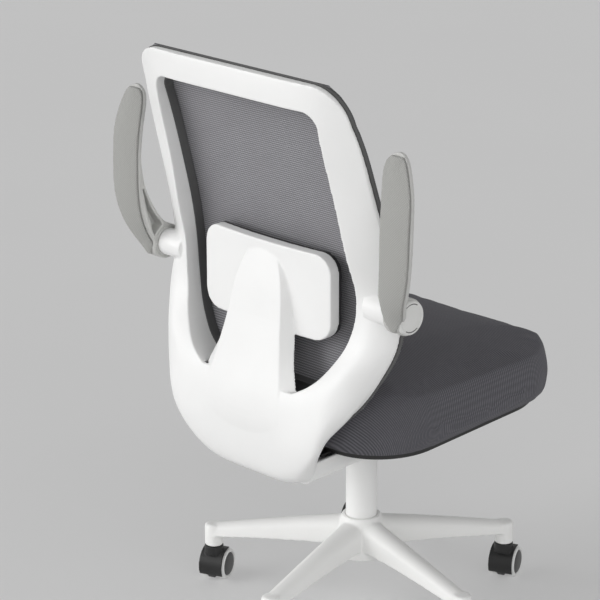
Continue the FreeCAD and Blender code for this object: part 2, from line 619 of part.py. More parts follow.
def make_tilt_plate():
    """Flat steel plate carrying the seat and the back, with two ears on the pivot pin."""
    plate = box(
        (-PLATE_HALF_WIDTH, PLATE_HALF_WIDTH), (PLATE_FRONT, PLATE_REAR), (PLATE_BOTTOM, PAN_BOTTOM))
    ear_inner = HOUSING_HALF_WIDTH + SIDE_PLAY
    for side in (1, -1):
        edges = sorted((side * ear_inner, side * (ear_inner + EAR_THICKNESS)))
        ear = box(edges, (PIVOT_Y - EAR_HALF_LENGTH, PIVOT_Y + EAR_HALF_LENGTH), (PIVOT_Z, PLATE_BOTTOM))
        foot = crossbar(EAR_HALF_LENGTH, edges, (PIVOT_Y, PIVOT_Z))
        plate = plate.fuse([ear, foot])
    reach = (-PLATE_HALF_WIDTH, PLATE_HALF_WIDTH)
    plate = plate.cut(crossbar(PIVOT_RADIUS + RUNNING_FIT, reach, (PIVOT_Y, PIVOT_Z)))
    for x, y in seat_screw_places():
        plate = plate.cut(post(SEAT_SCREW_RADIUS + RUNNING_FIT, (x, y), PLATE_BOTTOM, PAN_BOTTOM))
    for x, y in back_bolt_places():
        plate = plate.cut(post(BACK_BOLT_RADIUS + RUNNING_FIT, (x, y), PLATE_BOTTOM, PAN_BOTTOM))
    save("tilt_plate", pitched(plate.removeSplitter()))


# Seat

def seat_screw_places():
    """Four screws from the tilt plate up into the seat pan."""
    return [(side * SEAT_SCREW_X, y) for side in (1, -1) for y in (SEAT_SCREW_FRONT, SEAT_SCREW_REAR)]


def seat_outline(height, inset):
    """Rounded plan of the seat at a height, drawn in by an inset; lines and quarter arcs."""
    half = SEAT_HALF_WIDTH - inset
    front = SEAT_FRONT + inset
    rear = SEAT_REAR - inset
    edges = []
    corners = [
        (half, front, SEAT_FRONT_RADIUS, 1, 1), (half, rear, SEAT_REAR_RADIUS, 1, -1),
        (-half, rear, SEAT_REAR_RADIUS, -1, -1), (-half, front, SEAT_FRONT_RADIUS, -1, 1)]
    points = []
    for x, y, radius, side, way in corners:
        round_off = max(radius - 0.5 * inset, 10.0)
        along_y = Vector(x, y + way * round_off, height)
        along_x = Vector(x - side * round_off, y, height)
        bulge = round_off * (1.0 - math.sqrt(0.5))
        middle = Vector(x - side * bulge, y + way * bulge, height)
        ends = (along_x, along_y) if side * way > 0 else (along_y, along_x)
        points.append((ends[0], middle, ends[1]))
    for index, (start, middle, end) in enumerate(points):
        edges.append(arc(start, middle, end))
        edges.append(line(end, points[(index + 1) % len(points)][0]))
    return Part.Wire(edges)


def cushion_crown():
    """Space under the cushion's top: a shallow arc across the seat and a line that falls to the front."""
    low = CUSHION_BOTTOM - CUSHION_THICKNESS
    left = Vector(-SEAT_HALF_WIDTH, SEAT_FRONT, CUSHION_PEAK - CUSHION_CROWN)
    right = Vector(SEAT_HALF_WIDTH, SEAT_FRONT, CUSHION_PEAK - CUSHION_CROWN)
    low_left = Vector(-SEAT_HALF_WIDTH, SEAT_FRONT, low)
    low_right = Vector(SEAT_HALF_WIDTH, SEAT_FRONT, low)
    across = prism(
        [arc(left, Vector(0, SEAT_FRONT, CUSHION_PEAK), right), line(right, low_right),
         line(low_right, low_left), line(low_left, left)], Y_AXIS * (SEAT_REAR - SEAT_FRONT))
    top = [Vector(-SEAT_HALF_WIDTH, y, z) for y, z in CUSHION_TOP_LINE]
    foot_rear = Vector(-SEAT_HALF_WIDTH, SEAT_REAR, low)
    foot_front = Vector(-SEAT_HALF_WIDTH, SEAT_FRONT, low)
    along = prism(
        [spline(top), line(top[-1], foot_rear), line(foot_rear, foot_front), line(foot_front, top[0])],
        X_AXIS * 2.0 * SEAT_HALF_WIDTH)
    return across.common(along)


def make_seat():
    """Pan, its screws and the crowned cushion whose sides draw in towards the bottom."""
    pan = Part.Face(seat_outline(PAN_BOTTOM, PAN_INSET)).extrude(Z_AXIS * PAN_THICKNESS)
    screws = []
    screw_top = PAN_TOP - 3.0
    for x, y in seat_screw_places():
        shank = post(SEAT_SCREW_RADIUS, (x, y), PLATE_BOTTOM, screw_top)
        head = post(SEAT_SCREW_RADIUS * 2.0, (x, y), PLATE_BOTTOM - SCREW_HEAD, PLATE_BOTTOM)
        screws.append(shank.fuse(head).removeSplitter())
        pan = pan.cut(post(SEAT_SCREW_RADIUS + RUNNING_FIT, (x, y), PAN_BOTTOM, screw_top))
    save("seat_pan", pitched(pan))
    save("seat_screws", pitched(Part.makeCompound(screws)))
    levels = [
        seat_outline(CUSHION_BOTTOM + share * CUSHION_THICKNESS, inset) for share, inset in CUSHION_LEVELS]
    cushion = Part.makeLoft(levels, True, False)
    save("seat_cushion", pitched(cushion).common(cushion_crown()))


# Back shell, mesh and lumbar support

def front_edge(shift, points=FRONT_LINE):
    """Side profile of the back's front face, moved along Y."""
    return spline([Vector(0, y + shift, z) for z, y in points])


def front_slab(rear_shift, front_shift):
    """Sheet that follows the back's front face over the full width, between two shifts along Y."""
    rear = front_edge(rear_shift)
    front = front_edge(front_shift)
    low = line(front.Vertexes[0].Point, rear.Vertexes[0].Point)
    high = line(rear.Vertexes[-1].Point, front.Vertexes[-1].Point)
    sheet = prism([low, rear, high, front], X_AXIS * 2.0 * BACK_REACH)
    sheet.translate(X_AXIS * -BACK_REACH)
    return sheet


def both_sides(half_points):
    """Outline points on the right half, then the same points mirrored, as vectors at Y zero."""
    right = [Vector(x, 0, z) for x, z in half_points]
    left = [Vector(-x, 0, z) for x, z in reversed(half_points)]
    return right, left


def grown_line(half_points, amount):
    """Half outline moved outwards by an amount, square to its own direction."""
    grown = []
    for index, (x, z) in enumerate(half_points):
        before = half_points[max(index - 1, 0)]
        after = half_points[min(index + 1, len(half_points) - 1)]
        run = Vector(after[0] - before[0], 0, after[1] - before[1])
        grown.append((x + amount * run.z / run.Length, z - amount * run.x / run.Length))
    return grown


def outline_prism(half_points, top, radius, foot):
    """Prism along Y of a symmetric outline: two side curves, a straight top with round corners, a foot."""
    right, left = both_sides(half_points)
    head_right = right[-1]
    head_left = left[0]
    bend = Vector(head_right.x - radius, 0, top)
    middle = Vector(head_right.x - 0.27 * radius, 0, top - 0.3 * (top - head_right.z))
    bend_left = Vector(-bend.x, 0, top)
    middle_left = Vector(-middle.x, 0, middle.z)
    edges = [
        spline(right), arc(head_right, middle, bend), line(bend, bend_left),
        arc(bend_left, middle_left, head_left), spline(left)]
    if foot == right[0].z:
        edges.append(line(left[-1], right[0]))
    else:
        low_left = Vector(left[-1].x, 0, foot)
        low_right = Vector(right[0].x, 0, foot)
        edges += [line(left[-1], low_left), line(low_left, low_right), line(low_right, right[0])]
    return prism(edges, Y_AXIS * 500.0)


def shell_section(height, half_points, front_y):
    """Closed plan section of the solid shell: rear curve, two rims and the front line."""
    right = [Vector(x, y, height) for x, y in half_points]
    left = [Vector(-x, y, height) for x, y in reversed(half_points[1:])]
    rim_right = Vector(right[-1].x, front_y, height)
    rim_left = Vector(-right[-1].x, front_y, height)
    rear = spline(left + right)
    return Part.Wire([rear, line(right[-1], rim_right), line(rim_right, rim_left), line(rim_left, left[0])])


def inset_section(half_points, wall):
    """Rear curve of a plan section moved inwards by the wall."""
    moved = []
    for index, (x, y) in enumerate(half_points):
        before = half_points[max(index - 1, 0)]
        after = half_points[min(index + 1, len(half_points) - 1)]
        run = Vector(after[0] - before[0], after[1] - before[1], 0)
        moved.append((x + wall * run.y / run.Length, y - wall * run.x / run.Length))
    moved[0] = (0, half_points[0][1] - wall)
    return moved


def make_bowl():
    """Rim, side members and lower bowl: lofted, hollowed from the front, cut to its outline and opened."""
    sections = [shell_section(z, points, FRONT_BLANK) for z, points in SHELL_SECTIONS]
    solid = Part.makeLoft(sections, True, False)
    hollow_sections = [
        shell_section(z + SHELL_WALL if z < 300 else z, inset_section(points, SHELL_WALL), FRONT_BLANK - 20.0)
        for z, points in SHELL_SECTIONS if 290 < z <= CAVITY_TOP]
    hollow = Part.makeLoft(hollow_sections, True, False)
    foot = OPENING_LINE[0][1]
    opening = outline_prism(OPENING_LINE, OPENING_TOP, OPENING_CORNER, foot)
    margin = outline_prism(grown_line(OPENING_LINE, SHELL_WALL), OPENING_TOP, OPENING_CORNER, foot)
    solid = solid.cut(hollow.cut(margin))
    solid = solid.common(outline_prism(shell_outline(), BACK_TOP, BACK_CORNER, 280.0))
    solid = solid.cut(front_slab(0.0, -BACK_REACH))
    return solid.cut(opening)


def shell_outline():
    """Rim outline widened below the ring so that the bowl keeps its full width there."""
    wide = 246.0
    return [(wide, 300.0), (wide, 450.0)] + [point for point in RIM_LINE if point[1] > 560.0]


def stem_section(height, rear_half, rear_y, front_half, front_y):
    """Crowned bar section of the stem at a height."""
    rear_left = Vector(-rear_half, rear_y, height)
    rear_right = Vector(rear_half, rear_y, height)
    front_right = Vector(front_half, front_y, height)
    front_left = Vector(-front_half, front_y, height)
    return Part.Wire([
        arc(rear_left, Vector(0, rear_y + STEM_CROWN, height), rear_right), line(rear_right, front_right),
        line(front_right, front_left), line(front_left, rear_left)])


def lumbar_sheet(rear_y, thickness, extra_sweep, overhang):
    """Plate curved in plan, cut to a rounded outline seen from behind."""
    half = LUMBAR_HALF_WIDTH + overhang
    bottom = LUMBAR_BOTTOM - overhang
    top = LUMBAR_TOP + overhang
    wide = 1.1 * (LUMBAR_HALF_WIDTH + LUMBAR_PAD_OVERHANG)
    low = bottom - LUMBAR_CORNER
    front_y = rear_y - thickness
    flare = (wide / LUMBAR_HALF_WIDTH) ** 2
    end_y = rear_y - LUMBAR_SWEEP * flare
    front_end = front_y - (LUMBAR_SWEEP - extra_sweep) * flare
    outline = [
        arc(Vector(-wide, end_y, low), Vector(0, rear_y, low), Vector(wide, end_y, low)),
        line(Vector(wide, end_y, low), Vector(wide, front_end, low)),
        arc(Vector(wide, front_end, low), Vector(0, front_y, low), Vector(-wide, front_end, low)),
        line(Vector(-wide, front_end, low), Vector(-wide, end_y, low))]
    sheet = prism(outline, Z_AXIS * (top - bottom + 2.0 * LUMBAR_CORNER))
    frame = box((-half, half), (0, 400), (bottom, top))
    corners = [edge for edge in frame.Edges if edge.BoundBox.YLength > 399.0]
    return sheet.common(frame.makeFillet(LUMBAR_CORNER + overhang, corners))


def back_bolt_places():
    """Four bolts from under the bracket up into the tilt plate."""
    return [(side * BACK_BOLT_X, y) for side in (1, -1) for y in (BACK_BOLT_FRONT, BACK_BOLT_REAR)]


def make_bracket():
    """Channel that runs forward from the bowl under the seat, with four bolt bosses."""
    half = BRACKET_HALF_WIDTH
    low = BRACKET_BOTTOM
    turn = BRACKET_CORNER
    bend = turn * (1.0 - math.sqrt(0.5))

    def channel(inset, start, end, lift):
        side = half - inset
        floor = low + lift
        round_off = turn - inset
        corner = bend * round_off / turn
        edges = [
            line(Vector(side, start, PLATE_BOTTOM), Vector(-side, start, PLATE_BOTTOM)),
            line(Vector(-side, start, PLATE_BOTTOM), Vector(-side, start, floor + round_off)),
            arc(Vector(-side, start, floor + round_off), Vector(-side + corner, start, floor + corner),
                Vector(-side + round_off, start, floor)),
            line(Vector(-side + round_off, start, floor), Vector(side - round_off, start, floor)),
            arc(Vector(side - round_off, start, floor), Vector(side - corner, start, floor + corner),
                Vector(side, start, floor + round_off)),
            line(Vector(side, start, floor + round_off), Vector(side, start, PLATE_BOTTOM))]
        return prism(edges, Y_AXIS * (end - start))

    bracket = channel(0.0, BRACKET_FRONT, BRACKET_REAR, 0.0)
    hollow_front = BRACKET_FRONT + BRACKET_WALL
    bracket = bracket.cut(channel(BRACKET_WALL, hollow_front, BRACKET_REAR - 30.0, BRACKET_WALL))
    for x, y in back_bolt_places():
        bracket = bracket.fuse(post(BOLT_BOSS_RADIUS, (x, y), low, PLATE_BOTTOM))
    return bracket


def drill_bracket(shell):
    """Bolt holes with counterbores under the bracket."""
    head_top = BRACKET_BOTTOM + 1.0 + BOLT_HEAD_HEIGHT
    for x, y in back_bolt_places():
        hole = post(BACK_BOLT_RADIUS + RUNNING_FIT, (x, y), BRACKET_BOTTOM, PLATE_BOTTOM)
        counterbore = post(BOLT_HEAD_RADIUS + 0.5, (x, y), BRACKET_BOTTOM - 1.0, head_top)
        shell = shell.cut(pitched(hole.fuse(counterbore)))
    return shell


def inside_opening(gap):
    """Prism along Y of the opening drawn in by a gap."""
    points = grown_line(OPENING_LINE, -gap)
    return outline_prism(points, OPENING_TOP - gap, OPENING_CORNER, points[0][1])


def make_back():
    """Shell in one moulding, its bolts, the mesh ring, the mesh and the lumbar pad."""
    shell = make_bowl()
    stem = Part.makeLoft([stem_section(*section) for section in STEM_SECTIONS], True, False)
    plate = lumbar_sheet(LUMBAR_REAR, LUMBAR_THICKNESS, 0.0, 0.0)
    shell = shell.fuse([stem, plate, pitched(make_bracket())])
    for side in (1, -1):
        stub = crossbar(STUB_RADIUS, (side * STUB_ROOT, side * STUB_FACE), (ARM_Y, ARM_Z))
        shell = shell.fuse(stub.cut(front_slab(0.0, -BACK_REACH)))
        thread_root = side * (STUB_FACE - ARM_BOLT_DEPTH)
        shell = shell.cut(crossbar(ARM_BOLT_RADIUS, (thread_root, side * STUB_FACE), (ARM_Y, ARM_Z)))
    shell = drill_bracket(shell).removeSplitter()
    save("back_shell", shell)

    bolts = []
    head_foot = BRACKET_BOTTOM + 1.0
    head_top = head_foot + BOLT_HEAD_HEIGHT
    for x, y in back_bolt_places():
        shank = post(BACK_BOLT_RADIUS, (x, y), head_top, PAN_BOTTOM - 0.5)
        head = post(BOLT_HEAD_RADIUS, (x, y), head_foot, head_top)
        bolts.append(shank.fuse(head).removeSplitter())
    save("back_bolts", pitched(Part.makeCompound(bolts)))

    ring_points = [point for point in RIM_LINE if point[1] >= RING_BOTTOM]
    outer_points = grown_line(ring_points, RING_OVERHANG)
    outer = outline_prism(outer_points, BACK_TOP + RING_OVERHANG, BACK_CORNER, ring_points[0][1])
    ring = front_slab(0.0, -RING_THICKNESS).common(outer)
    lip = front_slab(RING_LIP_DEPTH, -0.5 * RING_THICKNESS).common(inside_opening(SOFT_GAP))
    ring = ring.fuse(lip).cut(inside_opening(SOFT_GAP + RING_LIP_WALL))
    save("mesh_ring", ring.removeSplitter())
    mesh_rear = -RING_THICKNESS - SOFT_GAP
    mesh = front_slab(mesh_rear, mesh_rear - MESH_THICKNESS).common(outer)
    save("back_mesh", mesh)
    pad_rear = LUMBAR_REAR - LUMBAR_THICKNESS - SOFT_GAP
    save("lumbar_pad", lumbar_sheet(pad_rear, LUMBAR_PAD_THICKNESS, LUMBAR_PAD_CROWN, LUMBAR_PAD_OVERHANG))


# Flip-up arms, drawn on the sitter's left and mirrored

def pad_outline():
    """Prism along Y of the arm pad seen from behind."""
    inner = [Vector(x, 0, z) for z, x, _, _ in PAD_STATIONS]
    outer = [Vector(x, 0, z) for z, _, x, _ in PAD_STATIONS]
    tip = Vector(PAD_TIP[0], 0, PAD_TIP[1])
    foot = Vector(PAD_FOOT[0], 0, PAD_FOOT[1])
    edges = [
        spline(inner), arc(inner[-1], tip, outer[-1]), spline(list(reversed(outer))),
        arc(outer[0], foot, inner[0])]
    return prism(edges, Y_AXIS * 500.0)


def pad_section(height, inner, outer, rear):
    """Section of the soft pad: flat on its backing, upright sides and a crowned face."""
    left = inner + PAD_RIM
    right = outer - PAD_RIM
    flat = rear - PAD_THICKNESS + 2.0 * SOFT_GAP
    shoulder = rear - PAD_CROWN
    points = [Vector(left, flat, height), Vector(right, flat, height), Vector(right, shoulder, height)]
    last = Vector(left, shoulder, height)
    crest = Vector((left + right) / 2.0, rear, height)
    return Part.Wire([
        line(points[0], points[1]), line(points[1], points[2]),
        arc(points[2], crest, last), line(last, points[0])])


def side_strip(points, depth, reach):
    """Curved strip of a constant depth along Y under the points (y, z), swept across the arm."""
    rear = spline([Vector(0, y, z) for y, z in points])
    front = spline([Vector(0, y - depth, z) for y, z in points])
    low = line(front.Vertexes[0].Point, rear.Vertexes[0].Point)
    high = line(rear.Vertexes[-1].Point, front.Vertexes[-1].Point)
    strip = prism([low, rear, high, front], X_AXIS * (reach[1] - reach[0]))
    strip.translate(X_AXIS * reach[0])
    return strip


def make_arm():
    """Arm frame, pad, hub cap and pivot bolt of the sitter's left arm."""
    hub_outer = ARM_FACE + ARM_HUB_WIDTH
    reach = (ARM_FACE, ARM_FACE + 2.0 * BACKING_WIDTH)
    pad_line = [(y, z) for z, _, _, y in PAD_STATIONS]
    low_y, low_z = pad_line[0]
    high_y, high_z = pad_line[-1]
    pad = Part.makeLoft([pad_section(*station) for station in PAD_STATIONS], True, False)
    backing_line = [(low_y - 5.0, low_z - 10.0)] + pad_line + [(high_y - 2.0, high_z + 10.0)]
    backing_line = [(y - PAD_THICKNESS, z) for y, z in backing_line]
    backing = side_strip(backing_line, PAD_BACKING, reach).common(pad_outline())

    hub = crossbar(ARM_HUB_RADIUS, (ARM_FACE, hub_outer), (ARM_Y, ARM_Z))
    rear_edge = [Vector(ARM_FACE, y - PAD_THICKNESS - 2.0, z) for y, z in pad_line[2:9]]
    front_edge_points = [Vector(ARM_FACE, y, z) for y, z in WEB_FRONT]
    hub_touch = Vector(ARM_FACE, ARM_Y, ARM_Z)
    web_edges = [
        spline(rear_edge), line(rear_edge[-1], front_edge_points[0]), spline(front_edge_points),
        line(front_edge_points[-1], hub_touch), line(hub_touch, rear_edge[0])]
    web = prism(web_edges, X_AXIS * WEB_THICKNESS)
    web = web.fuse(hub)
    pocket = [Vector(ARM_FACE, ARM_Y + y, ARM_Z + z) for y, z in POCKET]
    web = web.cut(polygon_prism(pocket, X_AXIS * RECESS_DEPTH))
    groove_reach = (ARM_FACE, ARM_FACE + HUB_GROOVE_DEPTH)
    groove = crossbar(HUB_GROOVE[1], groove_reach, (ARM_Y, ARM_Z))
    web = web.cut(groove.cut(crossbar(HUB_GROOVE[0], groove_reach, (ARM_Y, ARM_Z))))
    web = web.cut(polygon_prism([Vector(x, 100.0, z) for x, z in WEB_SLANT], Y_AXIS * 200.0))
    frame = web.fuse(backing)
    bolt_seat = hub_outer - ARM_BOLT_HEAD_HEIGHT - 2.0
    frame = frame.cut(crossbar(ARM_BOLT_RADIUS + RUNNING_FIT, (ARM_FACE, bolt_seat), (ARM_Y, ARM_Z)))
    frame = frame.cut(crossbar(ARM_BOLT_HEAD + 1.0, (bolt_seat, hub_outer), (ARM_Y, ARM_Z)))
    frame = frame.cut(crossbar(CAP_RADIUS + SOFT_GAP, (hub_outer, reach[1]), (ARM_Y, ARM_Z)))
    pad = pad.cut(crossbar(ARM_HUB_RADIUS + SOFT_GAP, reach, (ARM_Y, ARM_Z)))

    bolt_root = Vector(STUB_FACE - ARM_BOLT_DEPTH, ARM_Y, ARM_Z)
    bolt_shoulder = Vector(bolt_seat + SIDE_PLAY, ARM_Y, ARM_Z)
    bolt = cylinder(ARM_BOLT_RADIUS, bolt_root, bolt_shoulder)
    head = cylinder(ARM_BOLT_HEAD, bolt_shoulder, bolt_shoulder + X_AXIS * ARM_BOLT_HEAD_HEIGHT)
    bolt = bolt.fuse(head).removeSplitter()

    cap_profile = [
        Vector(hub_outer, 0, 0), Vector(hub_outer + CAP_RISE - CAP_DISH, 0, 0),
        Vector(hub_outer + CAP_RISE - CAP_DISH, CAP_RADIUS - CAP_RIM, 0),
        Vector(hub_outer + CAP_RISE, CAP_RADIUS - CAP_RIM * 0.6, 0),
        Vector(hub_outer + CAP_RISE - 2.0, CAP_RADIUS - 1.0, 0),
        Vector(hub_outer + CAP_RISE * 0.4, CAP_RADIUS, 0), Vector(hub_outer, CAP_RADIUS, 0)]
    cap = Part.Face(Part.makePolygon(cap_profile + cap_profile[:1])).revolve(ORIGIN, X_AXIS, 360)
    cap.translate(Vector(0, ARM_Y, ARM_Z))
    return {"frame": frame.removeSplitter(), "pad": pad, "cap": cap, "bolt": bolt}


def make_arms():
    """Both arms with the names of their sides."""
    for name, shape in make_arm().items():
        save("left_arm_" + name, shape)
        save("right_arm_" + name, mirrored(shape))


os.makedirs("parts", exist_ok=True)
save("base_star", make_base())
make_casters()
make_lift()
make_mechanism()
make_lever()
make_tilt_plate()
make_seat()
make_back()
make_arms()
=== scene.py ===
# %% [markdown]
# An office chair seen from behind, dressed over its CAD frame.
# The solids already have the right size and place, so each cell below either gives a solid its finish
# or makes a softer, rounder piece that stands in for one. Places and sizes come from the frame.

# %% Load the frame
import json
import math
import bpy
import numpy as np
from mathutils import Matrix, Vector


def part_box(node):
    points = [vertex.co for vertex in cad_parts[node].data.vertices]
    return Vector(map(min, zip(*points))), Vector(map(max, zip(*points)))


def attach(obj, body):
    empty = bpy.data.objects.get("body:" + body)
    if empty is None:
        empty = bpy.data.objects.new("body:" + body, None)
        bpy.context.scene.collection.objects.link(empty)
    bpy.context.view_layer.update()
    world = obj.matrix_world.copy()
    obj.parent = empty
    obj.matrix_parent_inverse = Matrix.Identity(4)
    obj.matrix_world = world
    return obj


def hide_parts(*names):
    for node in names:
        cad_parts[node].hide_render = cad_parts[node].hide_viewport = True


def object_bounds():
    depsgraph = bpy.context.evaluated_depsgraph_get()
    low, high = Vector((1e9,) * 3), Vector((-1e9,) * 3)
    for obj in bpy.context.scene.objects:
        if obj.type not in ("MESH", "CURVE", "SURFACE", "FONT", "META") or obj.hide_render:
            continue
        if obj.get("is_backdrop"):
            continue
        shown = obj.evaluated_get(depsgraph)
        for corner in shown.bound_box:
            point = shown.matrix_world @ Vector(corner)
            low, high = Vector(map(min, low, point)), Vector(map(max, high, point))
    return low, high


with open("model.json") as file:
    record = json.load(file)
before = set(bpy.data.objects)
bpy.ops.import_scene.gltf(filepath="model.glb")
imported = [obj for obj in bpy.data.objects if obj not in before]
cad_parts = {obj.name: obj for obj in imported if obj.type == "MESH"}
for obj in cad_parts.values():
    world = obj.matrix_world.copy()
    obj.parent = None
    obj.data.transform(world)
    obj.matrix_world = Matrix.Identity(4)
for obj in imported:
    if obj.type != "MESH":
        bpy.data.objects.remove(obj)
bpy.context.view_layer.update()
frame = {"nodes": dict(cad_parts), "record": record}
scene = bpy.context.scene
scene.view_settings.view_transform = "Standard"
joints = {joint["name"]: joint for joint in frame["record"]["behaviour"]["joints"]}

# %% [markdown]
# Every finish starts from one Principled shader. A real surface is never one flat colour, so its colour,
# roughness and relief come from small textures. They could be painted images, but textures worked out
# from the object's own coordinates need no unwrapping and keep the same scale on every piece.

# %% Tools for finishes
def link(tree, source, target):
    """Joins two sockets of a node tree."""
    tree.links.new(source, target)


def blank_finish(name):
    """New material: its tree, its shader, and coordinates in metres on the object itself."""
    material = bpy.data.materials.new(name)
    material.use_nodes = True
    tree = material.node_tree
    coordinates = tree.nodes.new("ShaderNodeTexCoord")
    return material, tree, tree.nodes["Principled BSDF"], coordinates.outputs["Object"]


def noise(tree, place, scale, detail=4.0):
    """Noise from 0 to 1 at a place, with features about one over scale metres wide."""
    node = tree.nodes.new("ShaderNodeTexNoise")
    node.inputs["Scale"].default_value = scale
    node.inputs["Detail"].default_value = detail
    link(tree, place, node.inputs["Vector"])
    return node.outputs["Fac"]


def ramp(tree, value, low, high, dark, light):
    """Colour that goes from dark to light while a value goes from low to high."""
    node = tree.nodes.new("ShaderNodeValToRGB")
    node.color_ramp.elements[0].position = low
    node.color_ramp.elements[1].position = high
    node.color_ramp.elements[0].color = (*dark, 1.0)
    node.color_ramp.elements[1].color = (*light, 1.0)
    link(tree, value, node.inputs["Fac"])
    return node.outputs["Color"]


def spread(tree, value, low, high):
    """Value from 0 to 1 laid over the range from low to high."""
    node = tree.nodes.new("ShaderNodeMapRange")
    node.inputs["To Min"].default_value = low
    node.inputs["To Max"].default_value = high
    link(tree, value, node.inputs["Value"])
    return node.outputs["Result"]


def joined(tree, first, second, way):
    """Two values joined by a sum, a product or another operation."""
    node = tree.nodes.new("ShaderNodeMath")
    node.operation = way
    link(tree, first, node.inputs[0])
    link(tree, second, node.inputs[1])
    return node.outputs["Value"]


def relief(tree, shader, height, depth):
    """Bump of a depth in metres from a height value."""
    node = tree.nodes.new("ShaderNodeBump")
    node.inputs["Strength"].default_value = 1.0
    node.inputs["Distance"].default_value = depth
    link(tree, height, node.inputs["Height"])
    link(tree, node.outputs["Normal"], shader.inputs["Normal"])


def bands(tree, place, direction, pitch):
    """Soft stripes across one direction: a sine of the distance along it, one wave per pitch in metres."""
    node = tree.nodes.new("ShaderNodeTexWave")
    node.wave_type = "BANDS"
    node.bands_direction = direction
    node.wave_profile = "SIN"
    node.inputs["Scale"].default_value = math.pi / 10.0 / pitch
    node.inputs["Distortion"].default_value = 0.0
    link(tree, place, node.inputs["Vector"])
    return node.outputs["Fac"]


def turned_place(tree, place, angle, axis):
    """Coordinates turned by an angle in degrees about one axis, for a slanted weave."""
    node = tree.nodes.new("ShaderNodeMapping")
    node.inputs["Rotation"].default_value[axis] = math.radians(angle)
    link(tree, place, node.inputs["Vector"])
    return node.outputs["Vector"]


# %% [markdown]
# Hard finishes: satin moulded plastic, powder coat and ground steel.
# A mould leaves a fine grain that breaks up the gloss, and handling dulls it in patches.
# One recipe covers all the plastics: a colour pair for cloudiness, a roughness range and a grain depth.

# %% Hard finishes
def moulded(name, dark, light, rough, grain_scale, grain_depth):
    """Satin moulding: cloudy colour, uneven gloss and a fine mould grain."""
    material, tree, shader, place = blank_finish(name)
    cloud = noise(tree, place, 6.0)
    link(tree, ramp(tree, cloud, 0.3, 0.7, dark, light), shader.inputs["Base Color"])
    gloss = spread(tree, noise(tree, place, 40.0), rough[0], rough[1])
    link(tree, gloss, shader.inputs["Roughness"])
    relief(tree, shader, noise(tree, place, grain_scale, 2.0), grain_depth)
    return material


def ground_steel(name):
    """Ground steel: fine grinding marks in its tone and its gloss."""
    material, tree, shader, place = blank_finish(name)
    marks = noise(tree, place, 900.0, 2.0)
    tone = ramp(tree, marks, 0.3, 0.7, (0.42, 0.42, 0.43), (0.6, 0.6, 0.61))
    link(tree, tone, shader.inputs["Base Color"])
    link(tree, spread(tree, marks, 0.28, 0.45), shader.inputs["Roughness"])
    shader.inputs["Metallic"].default_value = 1.0
    return material


def grey(level, warmth=0.0):
    """Neutral colour of one level; warmth takes a little off its blue."""
    return (level, level, level * (1.0 - warmth))


white_shell = moulded("white_shell", grey(0.82, 0.008), grey(0.86, 0.008), (0.36, 0.46), 1400.0, 0.00004)
white_base = moulded("white_base", grey(0.84, 0.015), grey(0.88, 0.015), (0.4, 0.52), 1200.0, 0.00006)
white_coat = moulded("white_coat", grey(0.86, 0.01), grey(0.9, 0.01), (0.36, 0.46), 1800.0, 0.00005)
grey_arm = moulded("grey_arm", grey(0.5, 0.03), grey(0.55, 0.03), (0.45, 0.58), 1500.0, 0.00008)
cap_grey = moulded("cap_grey", grey(0.68, 0.02), grey(0.73, 0.02), (0.38, 0.5), 1500.0, 0.00006)
# The slit finish is painted shade: a dark grey that stands for the shadow inside the gap around the cap's
# button.
slit_shade = moulded("slit_shade", grey(0.10), grey(0.14), (0.6, 0.7), 900.0, 0.00005)
ring_dark = moulded("ring_dark", grey(0.085), grey(0.11), (0.5, 0.62), 1300.0, 0.00008)
caster_black = moulded("caster_black", grey(0.010), grey(0.018), (0.32, 0.45), 1300.0, 0.00006)
tread_white = moulded("tread_white", grey(0.72, 0.01), grey(0.79, 0.01), (0.45, 0.6), 900.0, 0.00008)
hubcap_grey = moulded("hubcap_grey", grey(0.05), grey(0.075), (0.35, 0.48), 1300.0, 0.00006)
frame_black = moulded("frame_black", grey(0.015), grey(0.028), (0.4, 0.55), 700.0, 0.0001)
steel = ground_steel("steel")
print("hard finishes", len(bpy.data.materials))

# %% [markdown]
# Cloth finishes. The seat is a ribbed cloth whose ribs cross the seat and run down its sides;
# how far along the cloth a point lies is kept on the cushion's mesh. The back is a stretched knit with
# level ribs, broken into short dashes by a slanted thread. The arm pads have a fine diamond weave.
# Modelled threads would need millions of faces; a wave texture with bump gives the same look at this size,
# and its colour carries painted shade in the grooves.

# %% Cloth finishes
def laid_place(tree, name):
    """Coordinates whose second part is a distance kept on the mesh, for ribs that follow the cloth."""
    kept = tree.nodes.new("ShaderNodeAttribute")
    kept.attribute_name = name
    parts = tree.nodes.new("ShaderNodeCombineXYZ")
    link(tree, kept.outputs["Fac"], parts.inputs["Y"])
    return parts.outputs["Vector"]


def ribbed_cloth(name, rib_way, rib_pitch, thread_way, thread_pitch, slant, dark, light, depth, sheen,
                 laid=None):
    """Ribs in one direction times finer threads across them: crests painted light and grooves painted dark as
    shade, over the stripes of the weave.
    """
    material, tree, shader, place = blank_finish(name)
    rib = bands(tree, laid_place(tree, laid) if laid else place, rib_way, rib_pitch)
    thread = bands(tree, turned_place(tree, place, slant, 1), thread_way, thread_pitch)
    height = joined(tree, rib, spread(tree, thread, 0.6, 1.0), "MULTIPLY")
    patches = spread(tree, noise(tree, place, 25.0), 0.8, 1.12)
    tone = joined(tree, height, patches, "MULTIPLY")
    # The colour follows the rib height: painted shade in each groove, painted light on each crest.
    link(tree, ramp(tree, tone, 0.1, 0.9, dark, light), shader.inputs["Base Color"])
    shader.inputs["Roughness"].default_value = 0.85
    shader.inputs["Specular IOR Level"].default_value = 0.25
    shader.inputs["Sheen Weight"].default_value = sheen
    shader.inputs["Sheen Roughness"].default_value = 0.5
    relief(tree, shader, height, depth)
    return material


